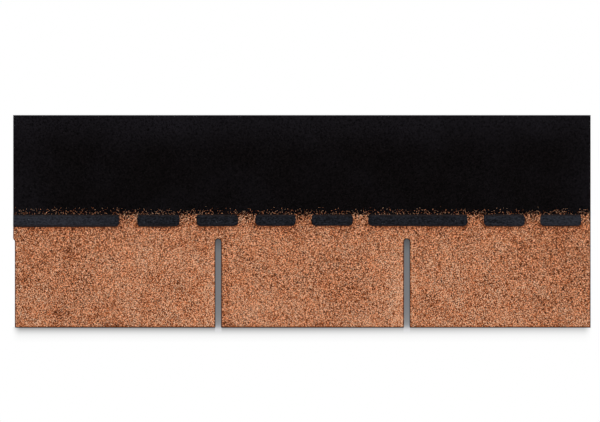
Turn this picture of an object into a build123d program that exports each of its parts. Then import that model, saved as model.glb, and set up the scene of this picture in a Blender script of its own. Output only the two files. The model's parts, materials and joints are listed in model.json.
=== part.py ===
"""A three-tab asphalt strip shingle, lying face up as it comes out of its bundle.

The strip is one asphalt-coated glass-fibre sheet. Its upper half, the headlap, is black and is
covered by the next course. Its lower half carries a coat of coloured mineral granules and is cut
into three tabs by narrow cutouts with round heads. A row of adhesive dashes crosses the middle of
the face, and a release film on the back keeps stacked strips from sticking to those dashes.

Frame: X runs along the strip, Y from the butt edge up to the top edge, Z out of the face. The
origin is the centre of the strip's outline on its underside. All sizes are in millimetres.
"""

import os
from math import cos, radians, tan

from build123d import *

# Outline of the strip
LENGTH = 914.4
DEPTH = 336.6

# Thicknesses. The granules are pressed part of the way into the asphalt
HEADLAP_THICKNESS = 2.8
GRANULE_BED = 0.4
GRANULE_COAT = 0.8

# Cutouts. The strip is cut from its web through a cutout, so its left end shows the flank of one
CUTOUT_WIDTH = 9.0
CUTOUT_LENGTH = 140.5
MOUTH_RADIUS = 1.2
END_RELIEF = 2.6
LEFT_TAB = 317.6
MIDDLE_TAB = 289.7

# The knife knocks off the outermost granules along the tabs, and eases those that stay
CHIPPED_MARGIN = 0.8
GRANULE_EASE = 0.3

# Adhesive dashes: a row listed from the left end, a row listed from the right end, and between
# them a long dash, where two pads of the printing wheel ran together, which fills the rest. Each
# pair is a dash's length and the gap after it. The first dash is cut off with the strip's end
DASH_OVERRUN = 12.8
DASHES_LEFT = ((180.0, 29.8), (65.7, 28.7), (64.0, 29.0), (62.4, 26.5), (63.6, 26.3))
DASHES_RIGHT = ((63.6, 25.9), (63.5, 27.3))
DASH_END_MARGIN = 15.5
DASH_WIDTH = 19.2
DASH_HEIGHT = 0.9
DASH_CORNER = 6.0
DASH_SLUMP_ANGLE = 40.0
DASH_CROWN = 1.6

# The most of an edge or face that rounding it may take up
ROUNDING_SHARE = 0.95

# Bands of granules below and above the dashes
BAND_BELOW_DASHES = 19.6
BAND_ABOVE_DASHES = 1.0

# Release film, rolled flush into the back behind the dashes
FILM_THICKNESS = 0.1
FILM_OVERLAP = 6.4

# Places worked out from the sizes above
LEFT_END = -LENGTH / 2
RIGHT_END = LENGTH / 2
BUTT_EDGE = -DEPTH / 2
TOP_EDGE = DEPTH / 2
DASH_LINE = BUTT_EDGE + CUTOUT_LENGTH + BAND_BELOW_DASHES + DASH_WIDTH / 2
GRANULE_LINE = DASH_LINE + DASH_WIDTH / 2 + BAND_ABOVE_DASHES
BED_LEVEL = HEADLAP_THICKNESS - GRANULE_BED
COAT_LEVEL = BED_LEVEL + GRANULE_COAT

# How far a cutting block reaches past what it cuts
REACH = 1.0


def block(x_span, y_span, z_span):
    """A rectangular block, given as its low and high place along each axis."""
    lows = [low for low, high in (x_span, y_span, z_span)]
    sizes = [high - low for low, high in (x_span, y_span, z_span)]
    return Pos(*lows) * Box(*sizes, align=(Align.MIN, Align.MIN, Align.MIN))


def cutout_places():
    """The centre line of each cutout, from the one at the left end on."""
    places = [LEFT_END + END_RELIEF - CUTOUT_WIDTH / 2]
    for tab in (LEFT_TAB, MIDDLE_TAB):
        places.append(places[-1] + tab + CUTOUT_WIDTH)
    return places


def cutout(place, margin):
    """One cutout, widened by a margin: a slot with a round head and a mouth with eased corners."""
    radius = CUTOUT_WIDTH / 2 + margin
    head = BUTT_EDGE + CUTOUT_LENGTH - CUTOUT_WIDTH / 2
    mouth = BUTT_EDGE + margin
    foot = mouth - REACH
    slot = Pos(place, (foot + head) / 2) * Rectangle(2 * radius, head - foot)
    slot += Pos(place, head) * Circle(radius)
    flare_top = mouth + MOUTH_RADIUS
    flare = Pos(place, (foot + flare_top) / 2) * Rectangle(
        2 * (radius + MOUTH_RADIUS), flare_top - foot
    )
    for side in (-1, 1):
        flare -= Pos(place + side * (radius + MOUTH_RADIUS), flare_top) * Circle(MOUTH_RADIUS)
    return slot + flare


def tabbed_face(margin, top):
    """The strip seen from above up to a given line, with a margin left off along the tabs."""
    right = RIGHT_END - margin
    low = BUTT_EDGE + margin
    face = Pos((LEFT_END + right) / 2, (low + top) / 2) * Rectangle(right - LEFT_END, top - low)
    for place in cutout_places():
        face -= cutout(place, margin)
    return face


def release_film():
    """The release film: a thin strip over the whole length, flush with the back."""
    half = DASH_WIDTH / 2 + FILM_OVERLAP
    return block(
        (LEFT_END, RIGHT_END), (DASH_LINE - half, DASH_LINE + half), (0, FILM_THICKNESS)
    )


def asphalt_sheet():
    """The coated sheet: full thickness in the headlap, sunk under the granules below it."""
    sheet = extrude(tabbed_face(0, TOP_EDGE), HEADLAP_THICKNESS)
    sheet -= block(
        (LEFT_END - REACH, RIGHT_END + REACH),
        (BUTT_EDGE - REACH, GRANULE_LINE),
        (BED_LEVEL, HEADLAP_THICKNESS + REACH),
    )
    return sheet - release_film()


def granule_coat():
    """The coat of granules, with eased edges along the tabs but not under the dashes."""
    face = tabbed_face(CHIPPED_MARGIN, GRANULE_LINE)
    coat = extrude(Pos(0, 0, BED_LEVEL) * face, GRANULE_COAT)
    rim = coat.edges().group_by(Axis.Z)[-1]
    tab_rim = [
        edge
        for edge in rim
        if edge.center().Y < GRANULE_LINE - BAND_ABOVE_DASHES / 2
        and edge.center().X > LEFT_END + GRANULE_EASE / 2
    ]
    return chamfer(tab_rim, min(GRANULE_EASE, ROUNDING_SHARE * GRANULE_COAT))


def dash_spans():
    """The low and high X of every dash, in order, with the long one between the two rows."""
    left, place = [], LEFT_END - DASH_OVERRUN
    for length, gap in DASHES_LEFT:
        left.append((place, place + length))
        place += length + gap
    long_start = place
    right, place = [], RIGHT_END - DASH_END_MARGIN
    for length, gap in DASHES_RIGHT:
        right.insert(0, (place - length, place))
        place -= length + gap
    return [*left, (long_start, place), *right]


def sealant_dash(low, high):
    """One dash of adhesive: a low bead with slumped sides and a crowned rim, cut at the ends."""
    corner = min(DASH_CORNER, ROUNDING_SHARE * DASH_WIDTH / 2)
    side = DASH_HEIGHT / cos(radians(DASH_SLUMP_ANGLE))
    crown = min(DASH_CROWN, ROUNDING_SHARE * side / tan(radians(90 - DASH_SLUMP_ANGLE) / 2))
    pad = Pos((low + high) / 2, DASH_LINE, COAT_LEVEL) * RectangleRounded(
        high - low, DASH_WIDTH, corner
    )
    bead = extrude(pad, DASH_HEIGHT, taper=DASH_SLUMP_ANGLE)
    bead = fillet(bead.edges().group_by(Axis.Z)[-1], crown)
    return bead & block(
        (LEFT_END, RIGHT_END), (BUTT_EDGE, TOP_EDGE), (COAT_LEVEL, COAT_LEVEL + DASH_HEIGHT)
    )


def main():
    """Writes one STEP file for each piece."""
    os.makedirs("parts", exist_ok=True)
    pieces = {
        "asphalt_sheet": asphalt_sheet(),
        "granule_coat": granule_coat(),
        "release_film": release_film(),
    }
    for number, (low, high) in enumerate(dash_spans(), 1):
        pieces[f"sealant_dash_{number}"] = sealant_dash(low, high)
    for name, piece in pieces.items():
        export_step(piece, f"parts/{name}.step")


main()
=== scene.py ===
"""Looks of a three-tab asphalt strip shingle, laid face up and seen from straight above.

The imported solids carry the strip, and are dressed here as coated asphalt and as a release film.
Crushed mineral chips are pressed into its face: a copper blend on the tabs, fading out in a ragged
line above the adhesive, and black ones on the headlap. Each adhesive dash is modelled anew as a
slumped bead with streaks, and stands for its plain solid.

Lengths are in millimetres until they go into Blender, in the part's own frame: X along the strip,
Y from the butt edge of the tabs to the top edge of the headlap, Z out of the weather face.
"""

from __future__ import annotations

import json
import logging
from collections.abc import Sequence
from dataclasses import dataclass, field
from enum import Enum

import bpy
import numpy as np
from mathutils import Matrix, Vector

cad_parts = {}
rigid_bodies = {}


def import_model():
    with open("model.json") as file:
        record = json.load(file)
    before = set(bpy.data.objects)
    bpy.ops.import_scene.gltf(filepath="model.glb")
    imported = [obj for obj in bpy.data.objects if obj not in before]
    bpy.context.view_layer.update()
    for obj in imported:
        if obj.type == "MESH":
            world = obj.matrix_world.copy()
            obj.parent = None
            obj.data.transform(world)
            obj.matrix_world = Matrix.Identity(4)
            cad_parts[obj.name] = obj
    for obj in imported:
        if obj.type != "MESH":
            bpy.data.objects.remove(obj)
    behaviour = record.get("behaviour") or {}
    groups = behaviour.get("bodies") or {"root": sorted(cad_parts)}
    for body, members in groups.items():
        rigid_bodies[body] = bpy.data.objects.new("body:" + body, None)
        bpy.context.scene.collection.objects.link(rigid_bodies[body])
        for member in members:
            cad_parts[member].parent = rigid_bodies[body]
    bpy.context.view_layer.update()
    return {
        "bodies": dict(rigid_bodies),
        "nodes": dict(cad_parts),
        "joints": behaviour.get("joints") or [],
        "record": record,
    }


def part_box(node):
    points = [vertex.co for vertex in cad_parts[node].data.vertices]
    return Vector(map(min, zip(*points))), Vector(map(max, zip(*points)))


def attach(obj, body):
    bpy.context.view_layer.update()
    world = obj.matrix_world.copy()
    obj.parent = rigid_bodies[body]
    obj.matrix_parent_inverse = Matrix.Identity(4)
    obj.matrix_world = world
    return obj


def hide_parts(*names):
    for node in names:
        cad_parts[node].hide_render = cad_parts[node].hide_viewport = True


LOG = logging.getLogger("shingle")
MM = 0.001
BODY = "root"
BAKE_MAP = "OFBake"

# Random draws: one seed, and a stream of its own for each piece
SEED = 20817
HEADLAP_STREAM = 50
BEAD_STREAM = 100

# A length that counts as none
TINY = 1e-3

Colour = tuple[float, float, float]
Span = tuple[float, float]
Stops = Sequence[tuple[float, Colour]]
Array = np.ndarray
Random = np.random.Generator
Material = bpy.types.Material
Socket = bpy.types.NodeSocket
WHITE: Colour = (1.0, 1.0, 1.0)


class Slot(Enum):
    """The record's material slots."""

    ASPHALT = "asphalt"
    GRANULES = "granules"
    SEALANT = "sealant"


class Mineral(Enum):
    """Minerals of the copper blend, darkest first, each with its share and its colour."""

    COAL = (0.25, (0.028, 0.004, 0.001))
    UMBER = (0.03, (0.150, 0.025, 0.004))
    RUST = (0.05, (0.450, 0.130, 0.040))
    COPPER = (0.17, (0.780, 0.272, 0.112))
    SANDSTONE = (0.23, (1.000, 0.440, 0.228))
    CREAM = (0.27, (1.000, 0.610, 0.388))

    @property
    def share(self) -> float:
        """Share of the blend."""
        return self.value[0]

    @property
    def colour(self) -> Colour:
        """Colour of its chips."""
        return self.value[1]

    @classmethod
    def stops(cls) -> Stops:
        """Ramp stops, each in the middle of its mineral's share."""
        ends = np.cumsum([mineral.share for mineral in cls])
        return [(end - m.share / 2, m.colour) for end, m in zip(ends.tolist(), cls)]


@dataclass(frozen=True)
class Box:
    """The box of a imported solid, in millimetres."""

    low: Array
    high: Array

    @classmethod
    def of(cls, node: str) -> Box:
        """Reads the box of the solid of that name."""
        low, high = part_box(node)
        return cls(np.array(low) / MM, np.array(high) / MM)


@dataclass(frozen=True)
class Profile:
    """A value that changes along a line: straight between its points, level past its ends."""

    points: tuple[tuple[float, float], ...]

    def at(self, place: Array) -> Array:
        """Its value at each place."""
        return np.interp(place, *np.transpose(self.points))


def rounded_distance(x: Array, y: Array, box: Box, corner: Array) -> Array:
    """Distance to a rounded rectangle seen from above, less than 0 inside it.

    Args:
        x: places along X.
        y: places along Y.
        box: the rectangle.
        corner: radius of its corner nearest to each place.

    Returns:
        One distance for each place.
    """
    centre, half = (box.low + box.high) / 2, (box.high - box.low) / 2
    across = np.abs(x - centre[0]) - half[0] + corner
    along = np.abs(y - centre[1]) - half[1] + corner
    inside = np.minimum(np.maximum(across, along), 0)
    return inside + np.hypot(np.maximum(across, 0), np.maximum(along, 0)) - corner


def smooth_noise(x: Array, y: Array, cell: float, rng: Random) -> Array:
    """Value noise: random heights at the corners of square cells, joined across each cell.

    With s the smoothstep 3t^2 - 2t^3 of the place t in the cell, the heights of its corners are
    mixed by s along X and then by s along Y.

    Args:
        x: places along X.
        y: places along Y.
        cell: side of a cell.
        rng: source of the random heights.

    Returns:
        Heights from -1 to 1, one for each place.
    """
    across, along = np.broadcast_arrays(x / cell, y / cell)
    column, row = np.floor(across).astype(int), np.floor(along).astype(int)
    s, t = across - column, along - row
    s, t = s * s * (3 - 2 * s), t * t * (3 - 2 * t)
    column, row = column - column.min(), row - row.min()
    heights = rng.uniform(-1, 1, (row.max() + 2, column.max() + 2))
    low = heights[row, column] * (1 - s) + heights[row, column + 1] * s
    high = heights[row + 1, column] * (1 - s) + heights[row + 1, column + 1] * s
    return low * (1 - t) + high * t


@dataclass(frozen=True)
class Grain:
    """Fractal noise: the size of its largest features, its octaves and the strength of each.

    The features are stretched along X that many times, and the depth is that of their relief.
    """

    size: float
    detail: float = 2.0
    rough: float = 0.5
    stretch: float = 1.0
    depth: float = 0.0


class Shader:
    """A node tree of one material, built up from its coordinates to its surface."""

    def __init__(self, name: str) -> None:
        """Starts a material with one Principled shader.

        Args:
            name: the material's name.
        """
        self.material = bpy.data.materials.new(name)
        self.material.use_nodes = True
        self.tree = self.material.node_tree
        self.tree.nodes.clear()
        self.surface = self.node("ShaderNodeBsdfPrincipled")
        self.output = self.node("ShaderNodeOutputMaterial")
        self.tree.links.new(self.surface.outputs["BSDF"], self.output.inputs["Surface"])
        self.coords = self.node("ShaderNodeTexCoord").outputs["Object"]

    def node(self, kind: str, inputs: dict | None = None, **settings: object) -> bpy.types.Node:
        """Adds a node.

        Args:
            kind: the node's type.
            inputs: values or sockets, by the name or number of the input they go to.
            settings: the node's own properties.

        Returns:
            The node.
        """
        node = self.tree.nodes.new(kind)
        for name, value in settings.items():
            setattr(node, name, value)
        for name, value in (inputs or {}).items():
            if isinstance(value, Socket):
                self.tree.links.new(value, node.inputs[name])
            else:
                node.inputs[name].default_value = value
        return node

    def noise(self, grain: Grain) -> Socket:
        """Adds fractal noise on the object's coordinates.

        Args:
            grain: what it looks like.

        Returns:
            A value about 0.5.
        """
        scale = (1 / grain.stretch, 1, 1)
        place = self.node("ShaderNodeMapping", {"Vector": self.coords, "Scale": scale})
        settings = {
            "Vector": place.outputs[0],
            "Scale": 1 / (grain.size * MM),
            "Detail": grain.detail,
            "Roughness": grain.rough,
        }
        return self.node("ShaderNodeTexNoise", settings).outputs[0]

    def ramp(self, value: Socket, stops: Stops) -> Socket:
        """Adds a colour ramp.

        Args:
            value: what it reads.
            stops: places from 0 to 1, each with its colour.

        Returns:
            The colour.
        """
        node = self.node("ShaderNodeValToRGB", {"Fac": value})
        elements = node.color_ramp.elements
        while len(elements) < len(stops):
            elements.new(1.0)
        for element, (place, colour) in zip(elements, stops):
            element.position = place
            element.color = (*colour, 1.0)
        return node.outputs[0]

    def math(self, operation: str, *values: object) -> Socket:
        """Adds a Math node on values or sockets, and gives its result."""
        node = self.node("ShaderNodeMath", dict(enumerate(values)), operation=operation)
        return node.outputs[0]

    def fit(self, value: object, span: Span, unit: float = 1.0) -> Socket:
        """Maps a span's first number to 0 and its second to 1 by a smooth step.

        Args:
            value: number or socket. Outside the span the result stays at 0 or 1.
            span: the two numbers, rising or falling.
            unit: what they are counted in.

        Returns:
            The share.
        """
        inputs = {"Value": value, "From Min": span[0] * unit, "From Max": span[1] * unit}
        node = self.node("ShaderNodeMapRange", inputs, interpolation_type="SMOOTHSTEP")
        return node.outputs[0]

    def mix(self, share: object, first: object, second: object, blend: str = "MIX") -> Socket:
        """Mixes two colours.

        Args:
            share: how much of the second one, as a number or socket.
            first: colour or socket.
            second: colour or socket.
            blend: how they mix.

        Returns:
            The mixed colour.
        """
        colours = [c if isinstance(c, Socket) else (*c, 1.0) for c in (first, second)]
        inputs = {0: share, 6: colours[0], 7: colours[1]}
        return self.node("ShaderNodeMix", inputs, data_type="RGBA", blend_type=blend).outputs[2]

    def axes(self) -> tuple[Socket, ...]:
        """The object's X, Y and Z, in metres."""
        return tuple(self.node("ShaderNodeSeparateXYZ", {0: self.coords}).outputs)

    def attribute(self, name: str) -> Socket:
        """The value of a number that the mesh carries."""
        return self.node("ShaderNodeAttribute", attribute_name=name).outputs["Fac"]

    def finish(
        self,
        colour: object,
        roughness: object,
        specular: float,
        relief: Sequence[tuple[Socket, Grain]] = (),
    ) -> Material:
        """Sets the surface.

        Args:
            colour: base colour or its socket.
            roughness: number or socket.
            specular: strength of the reflection.
            relief: height sockets, each with the grain that it comes from, coarse ones first.

        Returns:
            The material.
        """
        normal = None
        for height, grain in relief:
            inputs = {"Height": height, "Distance": grain.depth * MM, "Strength": 1.0}
            if normal is not None:
                inputs["Normal"] = normal
            normal = self.node("ShaderNodeBump", inputs).outputs[0]
        if normal is not None:
            self.tree.links.new(normal, self.surface.inputs["Normal"])
        for name, value in (("Base Color", colour), ("Roughness", roughness)):
            socket = self.surface.inputs[name]
            if isinstance(value, Socket):
                self.tree.links.new(value, socket)
            else:
                socket.default_value = (*value, 1.0) if isinstance(value, tuple) else value
        self.surface.inputs["Specular IOR Level"].default_value = specular
        return self.material


def shown_rays(tree: bpy.types.NodeTree) -> Socket:
    """Is 1 for the rays that show the background, and 0 for those that carry its light.

    Args:
        tree: nodes of the world or of the floor.

    Returns:
        The largest of three values: the camera's rays, and those by way of gloss or glass.
    """
    rays = tree.nodes.new("ShaderNodeLightPath").outputs
    shown = rays["Is Camera Ray"]
    for name in ("Is Glossy Ray", "Is Transmission Ray"):
        larger = tree.nodes.new("ShaderNodeMath")
        larger.operation = "MAXIMUM"
        tree.links.new(shown, larger.inputs[0])
        tree.links.new(rays[name], larger.inputs[1])
        shown = larger.outputs[0]
    return shown


@dataclass(frozen=True)
class AsphaltFinish:
    """Coated asphalt: near black on the face, bare at the cut edges, dusted with fines behind.

    A paler haze lies at both ends and the top edge. The levels are the heights where it changes.
    """

    name: str = "coated_asphalt"
    dark: Colour = (0.0001, 0.0001, 0.0001)
    light: Colour = (0.0056, 0.0043, 0.0047)
    haze: Colour = (0.0150, 0.0138, 0.0178)
    edge: Colour = (0.030, 0.022, 0.018)
    edge_shade: float = 0.4
    dust: Colour = (0.170, 0.160, 0.148)
    back: Colour = (0.030, 0.029, 0.028)
    face_levels: Span = (2.2, 2.4)
    back_levels: Span = (0.5, 0.3)
    grit: Grain = Grain(0.8, depth=0.12)
    mottle: Grain = Grain(3.6, detail=3.0, rough=0.6, depth=0.25)
    cloud: Grain = Grain(90.0)
    specks: Grain = Grain(1.1)
    grit_share: float = 0.4
    haze_left: Span = (-370.0, -470.0)
    haze_right: Span = (380.0, 480.0)
    haze_top: Span = (100.0, 180.0)
    haze_share: float = 0.45
    cloud_share: float = 0.15
    roughness: float = 0.85
    specular: float = 0.018

    def material(self) -> Material:
        """The material, which tells face, cut edge and back apart by their height.

        Returns:
            The material.
        """
        s = Shader(self.name)
        x, y, z = s.axes()
        grit, mottle = s.noise(self.grit), s.noise(self.mottle)
        coarse = s.math("MULTIPLY", mottle, 1 - self.grit_share)
        value = s.math("MULTIPLY_ADD", s.fit(grit, (0.3, 0.7)), self.grit_share, coarse)
        face = s.ramp(value, [(0.38, self.dark), (0.64, self.light)])
        ends = s.math("ADD", s.fit(x, self.haze_left, MM), s.fit(x, self.haze_right, MM))
        top = s.fit(y, self.haze_top, MM)
        ends = s.math("MULTIPLY", ends, s.math("MULTIPLY_ADD", top, 0.5, 0.5))
        cloud = s.math("MULTIPLY", s.fit(s.noise(self.cloud), (0.40, 0.75)), self.cloud_share)
        share = s.math("MULTIPLY_ADD", s.math("MAXIMUM", ends, top), self.haze_share, cloud)
        face = s.mix(s.math("MULTIPLY", share, s.fit(mottle, (0.2, 0.6))), face, self.haze)
        shaded = tuple(self.edge_shade * c for c in self.edge)
        edge = s.mix(s.fit(grit, (0.4, 0.75)), self.edge, shaded)
        back = s.mix(s.fit(s.noise(self.specks), (0.48, 0.62)), self.back, self.dust)
        colour = s.mix(s.fit(z, self.face_levels, MM), edge, face)
        colour = s.mix(s.fit(z, self.back_levels, MM), colour, back)
        relief = [(mottle, self.mottle), (grit, self.grit)]
        return s.finish(colour, self.roughness, self.specular, relief)


@dataclass(frozen=True)
class BedFinish:
    """Asphalt between the chips, stained by fines of the same minerals below the adhesive."""

    name: str = "granule_bed"
    asphalt: Colour = (0.006, 0.0045, 0.004)
    stain: Colour = (0.480, 0.135, 0.045)
    stain_levels: Span = (9.0, -8.0)
    stain_share: float = 0.8
    grit: Grain = Grain(1.1, depth=0.3)
    roughness: float = 0.9
    specular: float = 0.05

    def material(self) -> Material:
        """The material of the coat's solid, which shows only between and beside the chips.

        Returns:
            The material.
        """
        s = Shader(self.name)
        _, y, _ = s.axes()
        grit = s.noise(self.grit)
        stained = s.math("MULTIPLY", s.fit(grit, (0.35, 0.65)), self.stain_share)
        share = s.math("MULTIPLY", stained, s.fit(y, self.stain_levels, MM))
        colour = s.mix(share, self.asphalt, self.stain)
        return s.finish(colour, self.roughness, self.specular, [(grit, self.grit)])


@dataclass(frozen=True)
class MineralFinish:
    """Ceramic-coated chips, each coloured by the mineral number that its mesh carries.

    The blend drifts over a few centimetres between a ruddy and a tawny tint.
    """

    name: str
    stops: Stops
    specular: float
    ruddy: Colour = WHITE
    tawny: Colour = WHITE
    drift: Grain = Grain(26.0)
    crystals: Grain = Grain(0.35, depth=0.05)
    crystal_share: float = 0.15
    roughness: float = 0.8

    def material(self) -> Material:
        """The material, with crystals of the second mineral's colour on each chip.

        Returns:
            The material.
        """
        s = Shader(self.name)
        crystals = s.noise(self.crystals)
        colour = s.ramp(s.attribute("mineral"), self.stops)
        _, crystal = self.stops[1]
        share = s.math("MULTIPLY", s.fit(crystals, (0.5, 0.8)), self.crystal_share)
        colour = s.mix(share, colour, crystal)
        tint = s.mix(s.fit(s.noise(self.drift), (0.3, 0.7)), self.ruddy, self.tawny)
        colour = s.mix(1.0, colour, tint, "MULTIPLY")
        return s.finish(colour, self.roughness, self.specular, [(crystals, self.crystals)])


@dataclass(frozen=True)
class SealantFinish:
    """Thermoplastic adhesive: satin blue-black with streaks along the way it was printed.

    It turns brown with the distance from a dash's middle line, and paler towards the strip's ends.
    """

    name: str = "sealant"
    dark: Colour = (0.0004, 0.0006, 0.0016)
    light: Colour = (0.0240, 0.0255, 0.0330)
    rim: Colour = (0.0130, 0.0080, 0.0068)
    painted_glint: Colour = (0.110, 0.120, 0.130)
    long_streaks: Grain = Grain(1.6, detail=3.0, rough=0.6, stretch=16.0, depth=0.15)
    short_streaks: Grain = Grain(1.5, stretch=2.0, depth=0.12)
    specks: Grain = Grain(2.2, detail=0.0)
    short_share: float = 0.7
    middle: float = 1.4
    rim_span: Span = (5.0, 9.6)
    rim_share: float = 0.75
    haze_span: Span = (230.0, 400.0)
    haze_lift: float = 0.11
    roughness: float = 0.5
    streak_roughness: float = 0.2
    specular: float = 0.057

    def material(self) -> Material:
        """The material, with streaks along X, browner rims and a few pale specks, which are
        painted highlights.

        Returns:
            The material.
        """
        s = Shader(self.name)
        x, y, _ = s.axes()
        long, short = s.noise(self.long_streaks), s.noise(self.short_streaks)
        long_part = s.math("MULTIPLY", long, 1 - self.short_share)
        value = s.math("MULTIPLY_ADD", short, self.short_share, long_part)
        hazed = s.fit(s.math("ABSOLUTE", x), self.haze_span, MM)
        value = s.math("MULTIPLY_ADD", hazed, self.haze_lift, value)
        colour = s.ramp(value, [(0.44, self.dark), (0.70, self.light)])
        off = s.math("ABSOLUTE", s.math("SUBTRACT", y, self.middle * MM))
        rim = s.math("MULTIPLY", s.fit(off, self.rim_span, MM), self.rim_share)
        colour = s.mix(rim, colour, self.rim)
        # Painted highlights: a few pale specks on the dark bead
        colour = s.mix(s.fit(s.noise(self.specks), (0.83, 0.86)), colour, self.painted_glint)
        streaked = s.fit(short, (0.3, 0.8))
        roughness = s.math("MULTIPLY_ADD", streaked, self.streak_roughness, self.roughness)
        relief = [(long, self.long_streaks), (short, self.short_streaks)]
        return s.finish(colour, roughness, self.specular, relief)


@dataclass(frozen=True)
class FilmFinish:
    """Thin release film over asphalt: dark, smooth and faintly wrinkled along its length."""

    name: str = "release_film"
    dark: Colour = (0.045, 0.046, 0.050)
    light: Colour = (0.120, 0.122, 0.130)
    wrinkles: Grain = Grain(5.0, detail=3.0, stretch=9.0, depth=0.3)
    grit: Grain = Grain(1.0, detail=1.0, depth=0.04)
    roughness: float = 0.28
    specular: float = 0.4

    def material(self) -> Material:
        """The material, with wrinkles stretched along X.

        Returns:
            The material.
        """
        s = Shader(self.name)
        wrinkles, grit = s.noise(self.wrinkles), s.noise(self.grit)
        value = s.math("MULTIPLY_ADD", grit, 0.5, s.math("MULTIPLY", wrinkles, 0.5))
        colour = s.ramp(value, [(0.35, self.dark), (0.7, self.light)])
        relief = [(wrinkles, self.wrinkles), (grit, self.grit)]
        return s.finish(colour, self.roughness, self.specular, relief)


def add_object(name: str, data: bpy.types.ID) -> bpy.types.Object:
    """Links a new object into the scene.

    Args:
        name: its name.
        data: its mesh, camera or light.

    Returns:
        The object.
    """
    made = bpy.data.objects.new(name, data)
    bpy.context.scene.collection.objects.link(made)
    return made


def grid_faces(rows: int, columns: int) -> Array:
    """Faces of a grid of points: each joins a point with the next in its row and those above.

    Args:
        rows: how many rows of points.
        columns: how many points in a row.

    Returns:
        Four point numbers for each face, turned so that +Z is outside.
    """
    number = np.arange(rows * columns).reshape(rows, columns)
    corners = (number[:-1, :-1], number[:-1, 1:], number[1:, 1:], number[1:, :-1])
    return np.stack(corners, axis=-1).reshape(-1, 4)


def closed_shell(top: Array, bottom: Array) -> tuple[Array, Array]:
    """Joins two grids of points, one above the other, into a closed shell.

    Args:
        top: points of the upper surface, rows by columns by three.
        bottom: points of the lower surface, on the same grid.

    Returns:
        The points and the four-cornered faces. The lower faces come first.
    """
    rows, columns = top.shape[:2]
    count = rows * columns
    number = np.arange(count).reshape(rows, columns)
    sides = (number[0, :-1], number[:-1, -1], number[-1, :0:-1], number[:0:-1, 0])
    ring = np.concatenate(sides)
    after = np.roll(ring, -1)
    wall = np.stack((ring + count, after + count, after, ring), axis=-1)
    lid = grid_faces(rows, columns)
    points = np.concatenate((top.reshape(-1, 3), bottom.reshape(-1, 3)))
    return points, np.concatenate((lid[:, ::-1] + count, wall, lid))


def add_piece(
    name: str,
    points: Array,
    faces: Array,
    material: Material,
    mineral: Array | None = None,
) -> bpy.types.Object:
    """Puts a mesh into the scene as a piece that rides on the strip.

    Its bake map looks straight down on it.

    Args:
        name: the piece's name.
        points: its points in millimetres.
        faces: point numbers, three or four to a face.
        material: its finish.
        mineral: mineral number of each face. Without it the piece is shaded smooth.

    Returns:
        The piece.
    """
    mesh = bpy.data.meshes.new(name)
    mesh.vertices.add(len(points))
    mesh.vertices.foreach_set("co", (points * MM).astype(np.float32).ravel())
    mesh.loops.add(faces.size)
    mesh.loops.foreach_set("vertex_index", faces.astype(np.int32).ravel())
    mesh.polygons.add(len(faces))
    starts = np.arange(0, faces.size, faces.shape[1], dtype=np.int32)
    mesh.polygons.foreach_set("loop_start", starts)
    mesh.update(calc_edges=True)
    flat = points[:, :2]
    places = (flat - flat.min(0)) / np.ptp(flat, axis=0)
    bake_map = mesh.uv_layers.new(name=BAKE_MAP)
    bake_map.uv.foreach_set("vector", places[faces.ravel()].astype(np.float32).ravel())
    if mineral is None:
        mesh.shade_smooth()
    else:
        attribute = mesh.attributes.new("mineral", "FLOAT", "FACE")
        attribute.data.foreach_set("value", mineral.astype(np.float32))
    mesh.materials.append(material)
    piece = add_object(name, mesh)
    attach(piece, BODY)
    LOG.info("%s: %d faces", name, len(faces))
    return piece


@dataclass(frozen=True)
class Chips:
    """Crushed stone chips, each a lopsided pyramid: points round its foot and a tip."""

    radius: float = 1.0
    spread: float = 0.24
    reach: Span = (0.74, 1.16)
    rise: Span = (0.12, 0.34)
    sink: float = 0.07
    tilt: float = 0.12
    foot_angle: float = 0.35
    foot_rise: float = 0.10
    tip_offset: float = 0.35
    corners: int = 4

    @property
    def faces(self) -> int:
        """How many faces a chip has: one on each side, and a fan under its foot."""
        return 2 * self.corners - 2

    def shape(
        self, places: Array, level: Array, rng: Random, scale: Array | float = 1.0
    ) -> tuple[Array, Array]:
        """Makes a chip at each place.

        Foot point k of n stands at angle turn + k / n of a full turn + a little, at its own
        distance from the middle and a little under the level, tilted. The tip stands over the
        middle, a little to one side.

        Args:
            places: X and Y of each chip.
            level: height of the surface under each chip.
            rng: source of the random sizes.
            scale: size of each chip against the others.

        Returns:
            The points and the three-cornered faces.
        """
        count = len(places)
        size = self.radius * rng.uniform(1 - self.spread, 1 + self.spread, (count, 1))
        turn = rng.uniform(0, 2 * np.pi, (count, 1))
        step = np.arange(self.corners) * 2 * np.pi / self.corners
        angle = turn + step + rng.uniform(-self.foot_angle, self.foot_angle, (count, self.corners))
        reach = size * rng.uniform(*self.reach, (count, self.corners))
        across, along = reach * np.cos(angle), reach * np.sin(angle)
        lean = rng.uniform(-self.tilt, self.tilt, (2, count, 1))
        height = rng.uniform(-self.foot_rise, self.foot_rise, (count, self.corners)) - self.sink
        height = height + lean[0] * across + lean[1] * along
        foot = np.stack((across, along, height), axis=-1)
        offset = size * rng.uniform(-self.tip_offset, self.tip_offset, (count, 2))
        tip = np.column_stack((offset, rng.uniform(*self.rise, count)))
        points = np.concatenate((foot, tip[:, None, :]), axis=1) * np.reshape(scale, (-1, 1, 1))
        points[..., :2] += places[:, None, :]
        points[..., 2] += level[:, None]
        ring = np.arange(self.corners)
        sides = np.stack((ring, np.roll(ring, -1), np.full_like(ring, self.corners)), axis=-1)
        under = [(0, k + 1, k) for k in range(self.corners - 2, 0, -1)]
        one = np.concatenate((under, sides))
        faces = one + (np.arange(count) * (self.corners + 1))[:, None, None]
        return points.reshape(-1, 3), faces.reshape(-1, 3)


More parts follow.
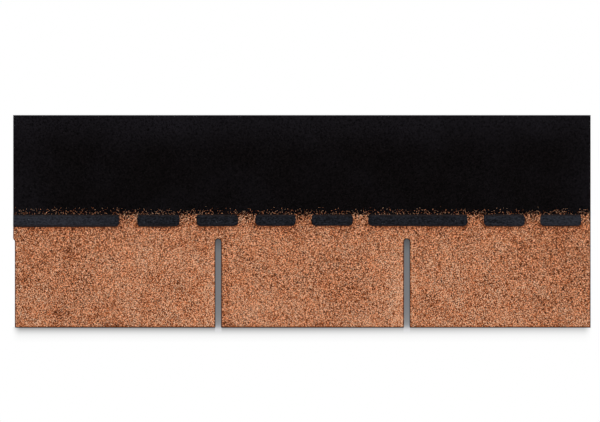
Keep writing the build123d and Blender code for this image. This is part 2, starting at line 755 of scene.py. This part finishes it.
@dataclass
class Outline:
    """Where the strip's face ends, and where its dashes lie, whose lower edges sag a little."""

    frame: dict
    cutout_half: float = 4.5
    cutout_length: float = 140.5
    end_relief: float = 2.6
    dash_overrun: float = 12.8
    lower_corner: float = 6.0
    upper_corner: float = 3.4
    swell: float = 0.9
    sag: Profile = Profile((
        (-365, 1.0), (-225, 0.5), (-80, -0.6), (50, -0.9), (180, -0.4),
        (340, 0.0), (420, -0.3),
    ))
    strip: Box = field(init=False)
    coat: Box = field(init=False)
    dashes: list[Box] = field(init=False)

    def __post_init__(self) -> None:
        """Reads the strip's boxes. The first dash is taken back to its full length."""
        self.strip = Box.of("asphalt_sheet")
        self.coat = Box.of("granule_coat")
        self.dashes = [Box.of(node) for node in self.dash_nodes]
        self.dashes[0].low[0] -= self.dash_overrun

    @property
    def dash_nodes(self) -> list[str]:
        """Names of the adhesive dashes' solids, from the left end on."""
        return sorted(node for node in self.frame["nodes"] if node.startswith("sealant_dash_"))

    @property
    def centres(self) -> list[float]:
        """Centre lines of the cutouts, from the one that the left end runs through.

        Returns:
            Their places along X.
        """
        openings = self.frame["record"]["physics"]["openings"]
        middles = [sum(corner[0] for corner in o["box_m"]) / 2 / MM for o in openings]
        return [self.strip.low[0] + self.end_relief - self.cutout_half, *sorted(middles)]

    @property
    def head(self) -> float:
        """The Y of the cutouts' round heads."""
        return self.strip.low[1] + self.cutout_length

    def clearance(self, x: Array, y: Array) -> Array:
        """Distance to the nearest cut edge of the tabs, less than 0 past it.

        From a cutout it is the distance to its centre line, or above the middle of its round head
        to that middle, less its half width.

        Args:
            x: places along X.
            y: places along Y.

        Returns:
            One distance for each place.
        """
        past_middle = np.maximum(y - (self.head - self.cutout_half), 0)
        nearest = np.minimum(self.strip.high[0] - x, y - self.strip.low[1])
        for centre in self.centres:
            nearest = np.minimum(nearest, np.hypot(x - centre, past_middle) - self.cutout_half)
        return nearest

    def bulge(self, v: Array) -> Array:
        """How far a dash's ends swell past its box, by the place across it from -1 to 1."""
        return self.swell * np.maximum(1 - v**2, 0)

    def corner(self, v: Array) -> Array:
        """Radius of a dash's corners, by the place across it: less above its middle."""
        return np.where(v < 0, self.lower_corner, self.upper_corner)

    def from_dashes(self, x: Array, y: Array) -> Array:
        """Distance to the nearest adhesive dash, less than 0 under it.

        Args:
            x: places along X.
            y: places along Y.

        Returns:
            One distance for each place.
        """
        low, high = self.dashes[0].low[1], self.dashes[0].high[1]
        v = (2 * y - low - high) / (high - low)
        y = np.where(v < 0, y + self.sag.at(x), y)
        distances = [rounded_distance(x, y, box, self.corner(v)) for box in self.dashes]
        return np.minimum.reduce(distances) - self.bulge(v)

    def between_dashes(self, x: Array) -> Array:
        """How far along X a place lies from the ends of the dashes, less than 0 beside one."""
        spans = [np.maximum(box.low[0] - x, x - box.high[0]) for box in self.dashes]
        return np.minimum.reduce(spans)


@dataclass
class Tab:
    """A stretch of the face between two lines across it and two levels along it."""

    name: str
    left: float
    right: float
    low: float
    high: float

    def sites(self, pitch: float, jitter: float, rng: Random) -> Array:
        """Scatters places over the stretch.

        They start as rows of equal-sided triangles, each row shifted at random, and each place
        then moves by up to the jitter's share of the pitch, each way. All stretches of one pitch
        share the same rows.

        Args:
            pitch: distance between neighbours in a row.
            jitter: share of the pitch.
            rng: source of the moves.

        Returns:
            X and Y of each place.
        """
        step = pitch * np.sqrt(3) / 2
        rows = np.arange(np.ceil(self.low / step), np.ceil(self.high / step)) * step
        columns = np.arange(self.left, self.right, pitch)
        x, y = np.meshgrid(columns, rows)
        x = x + rng.uniform(0, pitch, (len(rows), 1))
        places = np.stack((x.ravel(), y.ravel()), axis=-1)
        return places + rng.uniform(-jitter, jitter, places.shape) * pitch


@dataclass(frozen=True)
class Scuff:
    """A soft blotch on the tabs where darker or paler chips gather."""

    x: float
    y: float
    reach_x: float
    reach_y: float
    depth: float

    def at(self, x: Array, y: Array) -> Array:
        """Its strength at each place: a bell that falls off along X and Y."""
        away = ((x - self.x) / self.reach_x) ** 2 + ((y - self.y) / self.reach_y) ** 2
        return self.depth * np.exp(-away)


@dataclass
class GranuleField:
    """The copper blend: chips close together on the tabs, thinning out above the adhesive.

    A chip's mineral number is even chance from 0 to 1, moved by patches, scuffs and a slow trend
    along Y, and it is darker below the dashes and towards the butt edge. The darkening below the
    dashes is adhesive on the chips and a painted shadow of the dashes, and each facet's number
    also moves at random as painted facet shading. Between the dashes the chips thin out with Y,
    and above them only a few lie scattered.
    """

    outline: Outline
    pitch: float = 1.25
    jitter: float = 0.42
    margin: float = 1.6
    butt_margin: float = 2.0
    end_margin: float = 0.9
    dash_margin: float = 0.25
    side_gap: float = 0.05
    painted_facet_shade: float = 0.09
    patch: float = 34.0
    patch_depth: float = 0.05
    small_patch: float = 34.0 / 3
    small_patch_depth: float = 0.035
    stain_and_shadow_depth: float = 0.42
    stain_and_shadow_reach: float = 3.0
    butt_darkening: float = 0.08
    butt_darkening_reach: float = 1.6
    trend: Profile = Profile((
        (-168, 0.04), (-120, 0.025), (-40, -0.005), (-22, -0.05), (-9, -0.07),
        (4, -0.09), (12, -0.08),
    ))
    fading: Profile = Profile((
        (-8, 1.0), (-4, 0.95), (-1, 0.90), (3, 0.86), (7.5, 0.76), (9, 0.66),
        (11, 0.56), (12.7, 0.46), (14.3, 0.36), (16, 0.22), (19.5, 0.06), (22.5, 0.0),
    ))
    scatter: Profile = Profile((
        (11, 0.13), (12.5, 0.27), (14.5, 0.24), (17, 0.17), (19, 0.09), (21.5, 0.03),
        (24.5, 0.0),
    ))
    fine: float = 0.57
    fine_margin: float = 1.0
    neck: float = 5.0
    scuffs: tuple[Scuff, ...] = (
        Scuff(-366, -50, 11, 18, -0.24), Scuff(-388, -152, 14, 15, -0.20),
        Scuff(-446, -91, 9, 9, -0.22), Scuff(-117, -162, 12, 6, -0.24),
        Scuff(-291, -163, 16, 5, -0.18), Scuff(203, -124, 12, 10, -0.16),
        Scuff(386, -127, 16, 4, -0.26), Scuff(352, -40, 13, 9, -0.17),
        Scuff(37, -58, 12, 10, -0.13), Scuff(-165, -92, 22, 26, 0.08),
        Scuff(-94, -138, 26, 10, 0.08), Scuff(92, -155, 22, 9, 0.08),
        Scuff(-375, -90, 55, 90, -0.06), Scuff(55, -100, 55, 60, -0.05),
        Scuff(410, -100, 55, 120, -0.09), Scuff(-141, -100, 12, 90, 0.14),
        Scuff(-123, -100, 9, 90, -0.12), Scuff(156, -100, 14, 90, 0.16),
    )
    chips: Chips = Chips()
    ruddy: Colour = (1.0, 0.93, 0.87)
    tawny: Colour = (0.98, 1.04, 1.08)
    specular: float = 0.08

    def tabs(self) -> list[Tab]:
        """Lists the three tabs and the band that joins them above the cutouts.

        Returns:
            The four stretches.
        """
        o = self.outline
        _, left, right = o.centres
        low, start, end = o.strip.low[1], o.strip.low[0], o.strip.high[0]
        scatter_top, _ = self.scatter.points[-1]
        return [
            Tab("granules_left_tab", start, left, low, o.head),
            Tab("granules_middle_tab", left, right, low, o.head),
            Tab("granules_right_tab", right, end, low, o.head),
            Tab("granules_upper_band", start, end, o.head, scatter_top),
        ]

    def keep(self, x: Array, y: Array, rng: Random) -> Array:
        """Says which places get a chip: inside the cut edges, out from under the adhesive.

        Args:
            x: places along X.
            y: places along Y.
            rng: source of the thinning.

        Returns:
            True or false for each place.
        """
        o = self.outline
        inside = (o.clearance(x, y) > self.margin) & (y - o.strip.low[1] > self.butt_margin)
        inside &= x - o.strip.low[0] > self.end_margin
        inside &= o.from_dashes(x, y) > self.dash_margin
        neck = np.clip(0.5 + o.between_dashes(x) / self.neck, 0, 1)
        fading = self.fading.at(y)
        scattered = neck * fading + (1 - neck) * self.scatter.at(y)
        share = np.where(y < o.coat.high[1], fading, scattered)
        return inside & (rng.uniform(0, 1, len(x)) < share)

    def tone(self, x: Array, y: Array, rng: Random) -> Array:
        """Chooses the mineral number of each chip.

        Args:
            x: places along X.
            y: places along Y.
            rng: source of the patches and of the blend.

        Returns:
            Numbers that lie from about 0 to 1, dark to pale.
        """
        o = self.outline
        patches = self.patch_depth * smooth_noise(x, y, self.patch, rng)
        patches = patches + self.small_patch_depth * smooth_noise(x, y, self.small_patch, rng)
        tone = rng.uniform(0, 1, len(x)) + patches + self.trend.at(y)
        # Stain and painted shadow: chips just below the dashes are darker, for adhesive on them
        # and for the dashes' shadow
        stained = np.where(y < o.dashes[0].low[1] + o.lower_corner, self.stain_and_shadow_depth, 0)
        tone = tone - stained * np.exp(-o.from_dashes(x, y) / self.stain_and_shadow_reach)
        # Chips are darker towards the butt edge
        above_butt = np.maximum(y - o.strip.low[1] - self.butt_margin, 0)
        tone = tone - self.butt_darkening * np.exp(-above_butt / self.butt_darkening_reach)
        return tone + sum(scuff.at(x, y) for scuff in self.scuffs)

    def build(self) -> None:
        """Makes a piece for each tab and one for the band."""
        tints = self.ruddy, self.tawny
        material = MineralFinish("copper_blend", Mineral.stops(), self.specular, *tints).material()
        coat, strip = self.outline.coat, self.outline.strip
        for number, tab in enumerate(self.tabs()):
            rng = np.random.default_rng((SEED, number))
            places = tab.sites(self.pitch, self.jitter, rng)
            places = places[self.keep(places[:, 0], places[:, 1], rng)]
            x, y = places.T
            level = np.where(y < coat.high[1], coat.high[2], strip.high[2])
            scale = np.where(y < coat.high[1] - self.fine_margin, 1.0, self.fine)
            points, faces = self.chips.shape(places, level, rng, scale)
            low, high = strip.low[:2] + self.side_gap, strip.high[:2] - self.side_gap
            points[:, :2] = np.clip(points[:, :2], low, high)
            tone = np.repeat(self.tone(x, y, rng), self.chips.faces)
            # Painted shading: each facet's tone moves at random, as facets that catch the light
            # differently
            tone = np.clip(tone + rng.uniform(-1, 1, len(tone)) * self.painted_facet_shade, 0, 1)
            add_piece(tab.name, points, faces, material, tone)


@dataclass
class HeadlapField:
    """Black fines on the headlap, further apart, and among the last of the copper chips."""

    outline: Outline
    pitch: float = 2.5
    jitter: float = 0.45
    margin: float = 1.3
    low: float = -6.0
    chips: Chips = Chips(radius=0.85, spread=0.3)
    tone_shape: Span = (2, 3)
    stops: Stops = (
        (0.0, (0.0002, 0.0001, 0.0001)),
        (0.5, (0.0022, 0.0017, 0.0019)),
        (1.0, (0.0170, 0.0150, 0.0165)),
    )
    specular: float = 0.018

    def build(self) -> None:
        """Makes the field as one piece."""
        strip, coat = self.outline.strip, self.outline.coat
        rng = np.random.default_rng((SEED, HEADLAP_STREAM))
        whole = Tab("headlap_granules", strip.low[0], strip.high[0], self.low, strip.high[1])
        places = whole.sites(self.pitch, self.jitter, rng)
        x, y = places.T
        edge = np.minimum.reduce((x - strip.low[0], strip.high[0] - x, strip.high[1] - y))
        places = places[(edge > self.margin) & (self.outline.from_dashes(x, y) > 0)]
        level = np.where(places[:, 1] < coat.high[1], coat.high[2], strip.high[2])
        points, faces = self.chips.shape(places, level, rng)
        tone = np.repeat(rng.beta(*self.tone_shape, len(places)), self.chips.faces)
        material = MineralFinish("black_fines", self.stops, self.specular).material()
        add_piece(whole.name, points, faces, material, tone)


@dataclass
class SealantBead:
    """One dash of adhesive: a slumped bead with a wavy outline and ridges along it.

    Its upper edge leans down towards the strip's left end by the skew.
    """

    node: str
    number: int
    rim: float = 2.4
    rim_power: float = 4.0
    wave: float = 0.3
    wave_cell: float = 9.0
    skew: float = 0.45
    sunk: float = 0.1
    step: float = 1.1
    ridge: float = 0.07
    ridge_cell: float = 1.3
    ridge_stretch: float = 14.0
    grit: float = 0.06
    grit_cell: float = 1.5
    crown: float = 0.18

    def build(self, outline: Outline, material: Material) -> None:
        """Makes the bead in its solid's place.

        Each row along the bead is as long as the outline is there: its half length less the
        corner's radius c, plus the root of c^2 less the square of how far the row lies past the
        corner's centre, plus the swell of its ends. The height rises from the outline as a
        quarter circle over the rim, and has a low crown and ridges along it. The depth that it
        rises by is a smooth least of the distances to the four sides: the sum of their powers
        of -p, to the power of -1 / p.

        Args:
            outline: the strip's outline, whose end may cut the bead off.
            material: the bead's finish.
        """
        rng = np.random.default_rng((SEED, BEAD_STREAM + self.number))
        box, strip = Box.of(self.node), outline.strip
        (left, low, base), (right, high, top) = box.low, box.high
        columns = int((right - left) / self.step)
        rows = int((high - low) / self.step) + 1
        u, v = np.meshgrid(np.linspace(0, 1, columns), np.linspace(-1, 1, rows))
        half = (high - low) / 2
        corner = outline.corner(v)
        past = np.maximum(np.abs(v) * half - (half - corner), 0)
        inset = corner - np.sqrt(np.maximum(corner**2 - past**2, 0)) - outline.bulge(v)
        cut = left - strip.low[0] < TINY
        start, end = left + (0 if cut else inset), right - inset
        x = start + u * (end - start)
        run = (x - strip.low[0]) / (strip.high[0] - strip.low[0])
        dips = [(1 + smooth_noise(x, v, self.wave_cell, rng)) / 2 for _ in range(2)]
        upper = high - self.skew * (1 - run) - self.wave * dips[0]
        lower = low - outline.sag.at(x) + self.wave * dips[1]
        y = lower + (v + 1) / 2 * (upper - lower)
        ends = (np.full_like(x, np.inf) if cut else x - start, end - x)
        gaps = np.stack((y - lower, upper - y, *ends)) + TINY
        depth = np.sum(gaps**-self.rim_power, axis=0) ** (-1 / self.rim_power)
        rise = np.sqrt(1 - (1 - np.clip(depth / self.rim, 0, 1)) ** 2)
        relief = self.ridge * smooth_noise(x / self.ridge_stretch, y, self.ridge_cell, rng)
        relief = relief + self.grit * smooth_noise(x, y, self.grit_cell, rng)
        height = (top - base - self.ridge - self.grit) * (1 - self.crown * v**2)
        z = base + rise * (height + relief)
        bottom = np.full_like(z, base - self.sunk)
        points, faces = closed_shell(np.stack((x, y, z), -1), np.stack((x, y, bottom), -1))
        piece = add_piece(f"sealant_bead_{self.number}", points, faces, material)
        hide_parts(self.node)


@dataclass(frozen=True)
class Lamp:
    """A square soft lamp that points at the strip, at an angle from straight above."""

    name: str
    tilt: float
    watts: float
    distance: float = 2600.0
    size: float = 1800.0

    def hang(self) -> None:
        """Hangs the lamp. Its tilt is in degrees, towards +Y."""
        data = bpy.data.lights.new(self.name, "AREA")
        data.size = self.size * MM
        data.energy = self.watts
        lamp = add_object(self.name, data)
        angle, reach = np.radians(self.tilt), self.distance * MM
        lamp.location = (0, np.sin(angle) * reach, np.cos(angle) * reach)
        lamp.rotation_euler = (-angle, 0, 0)


@dataclass
class Studio:
    """A white floor, a camera straight above, and soft lamps on both long sides.

    The floor's painted shadow is given by the distance below the butt edge, and the painted shade
    in the cutouts by that inward from it.
    """

    outline: Outline
    camera_height: float = 4000.0
    face_height: float = 3.2
    sensor: float = 36.0
    mm_per_px: float = 1.5835
    picture_width_px: float = 600.0
    picture_centre_px: Span = (300.0, 211.0)
    strip_centre_px: Span = (301.9, 221.4)
    lamps: tuple[Lamp, ...] = (
        Lamp("lamp_top_side", 42.0, 46.0),
        Lamp("lamp_butt_side", -48.0, 13.0),
    )
    ambient: float = 0.50
    floor_drop: float = 0.1
    floor_size: float = 60_000.0
    floor_colour: Colour = (0.8, 0.8, 0.8)
    floor_roughness: float = 0.9
    floor_specular: float = 0.2
    shade: Profile = Profile((
        (0, 0.20), (0.8, 0.33), (2.4, 0.46), (5.5, 0.64), (8.7, 0.79), (12, 0.90),
        (17, 0.96), (24, 1.0),
    ))
    shade_ends: Span = (4.0, -12.0)
    shade_overlap: float = 0.5
    paling: float = 0.3
    paling_start: float = -100.0
    slot_shade: Profile = Profile((
        (-10, 0.93), (-5, 0.78), (-1, 0.58), (1.5, 0.42), (5, 0.31), (10, 0.26),
        (24, 0.22), (44, 0.20), (118, 0.178), (128, 0.150), (139, 0.10),
    ))
    slot_shade_tint: Colour = (0.975, 0.972, 1.0)
    slot_mouth: Span = (-10.0, -2.0)
    slot_flank: Span = (2.0, -0.5)
    slot_overlap: float = 1.0
    contact_reach: float = 9.0
    contact_depth: float = 0.12
    contact_samples: int = 8

    def camera(self) -> None:
        """Hangs the camera so that the strip's middle falls where the photograph has it."""
        data = bpy.data.cameras.new("overhead")
        data.sensor_width = self.sensor
        width = self.picture_width_px * self.mm_per_px
        data.lens = self.sensor * (self.camera_height - self.face_height) / width
        camera = add_object("overhead", data)
        x = (self.picture_centre_px[0] - self.strip_centre_px[0]) * self.mm_per_px
        y = (self.strip_centre_px[1] - self.picture_centre_px[1]) * self.mm_per_px
        camera.location = (x * MM, y * MM, self.camera_height * MM)
        bpy.context.scene.camera = camera

    def world(self) -> None:
        """Gives the world an even light, and pure white where it is seen."""
        world = bpy.data.worlds.new("studio")
        world.use_nodes = True
        tree = world.node_tree
        tree.nodes.clear()
        mix = tree.nodes.new("ShaderNodeMixShader")
        tree.links.new(shown_rays(tree), mix.inputs[0])
        for number, strength in ((1, self.ambient), (2, 1.0)):
            light = tree.nodes.new("ShaderNodeBackground")
            light.inputs["Color"].default_value = (*WHITE, 1.0)
            light.inputs["Strength"].default_value = strength
            tree.links.new(light.outputs[0], mix.inputs[number])
        output = tree.nodes.new("ShaderNodeOutputWorld")
        tree.links.new(mix.outputs[0], output.inputs[0])
        bpy.context.scene.world = world

    def graded(self, s: Shader, place: Socket, profile: Profile, tint: Colour) -> Socket:
        """Makes a ramp of tones over a distance.

        Args:
            s: the floor's shader.
            place: the distance, in metres.
            profile: how light the floor is at each distance.
            tint: colour that the tones take.

        Returns:
            The colour.
        """
        start, end = profile.points[0][0], profile.points[-1][0]
        reach = end - start
        share = s.math("DIVIDE", s.math("SUBTRACT", place, start * MM), reach * MM)
        points = profile.points
        stops = [((at - start) / reach, tuple(tone * c for c in tint)) for at, tone in points]
        return s.ramp(share, stops)

    def floor_material(self) -> Material:
        """White to the camera, with a painted shadow of the strip below its butt edge and painted
        shade in its cutouts.

        The painted shadow is laid out as if the light came from the headlap's side, so it fades
        away from the butt edge, and at the strip's ends. In a cutout the painted shade deepens
        from the mouth to the round head.

        Returns:
            The material.
        """
        s = Shader("white_floor")
        x, y, _ = s.axes()
        strip, half = self.outline.strip, self.outline.cutout_half
        butt, right = strip.low[1] * MM, strip.high[0] * MM
        # Painted shadow: the floor's colour darkens with the distance below the butt edge, fading
        # at the ends and paler to the right
        below = self.graded(s, s.math("SUBTRACT", butt, y), self.shade, WHITE)
        beside = s.math("SUBTRACT", s.math("ABSOLUTE", x), right)
        under = s.math("LESS_THAN", y, butt + self.shade_overlap * MM)
        within = s.math("MULTIPLY", s.fit(beside, self.shade_ends, MM), under)
        rightward = s.fit(x, (self.paling_start, strip.high[0]), MM)
        kept = s.math("SUBTRACT", 1.0, s.math("MULTIPLY", rightward, self.paling))
        shade = s.mix(s.math("MULTIPLY", within, kept), WHITE, below)
        inward = s.math("SUBTRACT", y, butt)
        # Painted shade in the cutouts: the floor's colour darkens from the mouth up to the round
        # head
        tone = self.graded(s, inward, self.slot_shade, self.slot_shade_tint)
        mouth = s.fit(inward, self.slot_mouth, MM)
        head = s.math("LESS_THAN", y, (self.outline.head + self.slot_overlap) * MM)
        for centre in self.outline.centres[1:]:
            off = s.math("ABSOLUTE", s.math("SUBTRACT", x, centre * MM))
            flank = s.fit(off, (half + self.slot_flank[0], half + self.slot_flank[1]), MM)
            inside = s.math("MULTIPLY", s.math("MULTIPLY", flank, mouth), head)
            shade = s.mix(inside, shade, tone)
        reach = {"Distance": self.contact_reach * MM}
        occlusion = s.node("ShaderNodeAmbientOcclusion", reach, samples=self.contact_samples)
        contact = s.fit(occlusion.outputs["AO"], (0.0, 1.0))
        contact = s.math("MULTIPLY_ADD", contact, self.contact_depth, 1.0 - self.contact_depth)
        glow = s.node("ShaderNodeEmission", {"Color": shade, "Strength": contact})
        material = s.finish(self.floor_colour, self.floor_roughness, self.floor_specular)
        inputs = {0: shown_rays(s.tree), 1: s.surface.outputs[0], 2: glow.outputs[0]}
        both = s.node("ShaderNodeMixShader", inputs)
        s.tree.links.new(both.outputs[0], s.output.inputs["Surface"])
        return material

    def floor(self) -> None:
        """Lays the floor just under the strip."""
        mesh = bpy.data.meshes.new("floor")
        half, z = self.floor_size / 2 * MM, -self.floor_drop * MM
        corners = [(-half, -half, z), (half, -half, z), (half, half, z), (-half, half, z)]
        mesh.from_pydata(corners, [], [(0, 1, 2, 3)])
        mesh.materials.append(self.floor_material())
        floor = add_object("floor", mesh)

    def build(self) -> None:
        """Sets up the whole studio."""
        self.camera()
        self.world()
        self.floor()
        for lamp in self.lamps:
            lamp.hang()
        bpy.context.scene.view_settings.view_transform = "Standard"
        LOG.info("studio: camera, world, floor and lamps")


@dataclass
class Solids:
    """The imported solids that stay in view, with their finishes."""

    nodes: dict[str, bpy.types.Object]

    def dress(self, node: str, material: Material) -> None:
        """Gives a solid its material.

        Args:
            node: the solid's name.
            material: its finish.
        """
        slots = self.nodes[node].data.materials
        slots.clear()
        slots.append(material)
        LOG.info("%s: dressed as %s", node, material.name)

    def build(self) -> None:
        """Dresses the sheet, the granules' bed and the film."""
        self.dress("asphalt_sheet", AsphaltFinish().material())
        self.dress("granule_coat", BedFinish().material())
        self.dress("release_film", FilmFinish().material())


def main() -> None:
    """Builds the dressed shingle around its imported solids."""
    logging.basicConfig(level=logging.INFO, format="%(name)s: %(message)s")
    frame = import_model()
    outline = Outline(frame)
    Studio(outline).build()
    Solids(frame["nodes"]).build()
    GranuleField(outline).build()
    HeadlapField(outline).build()
    sealant = SealantFinish().material()
    for number, node in enumerate(outline.dash_nodes, 1):
        SealantBead(node, number).build(outline, sealant)


if __name__ == "__main__":
    main()
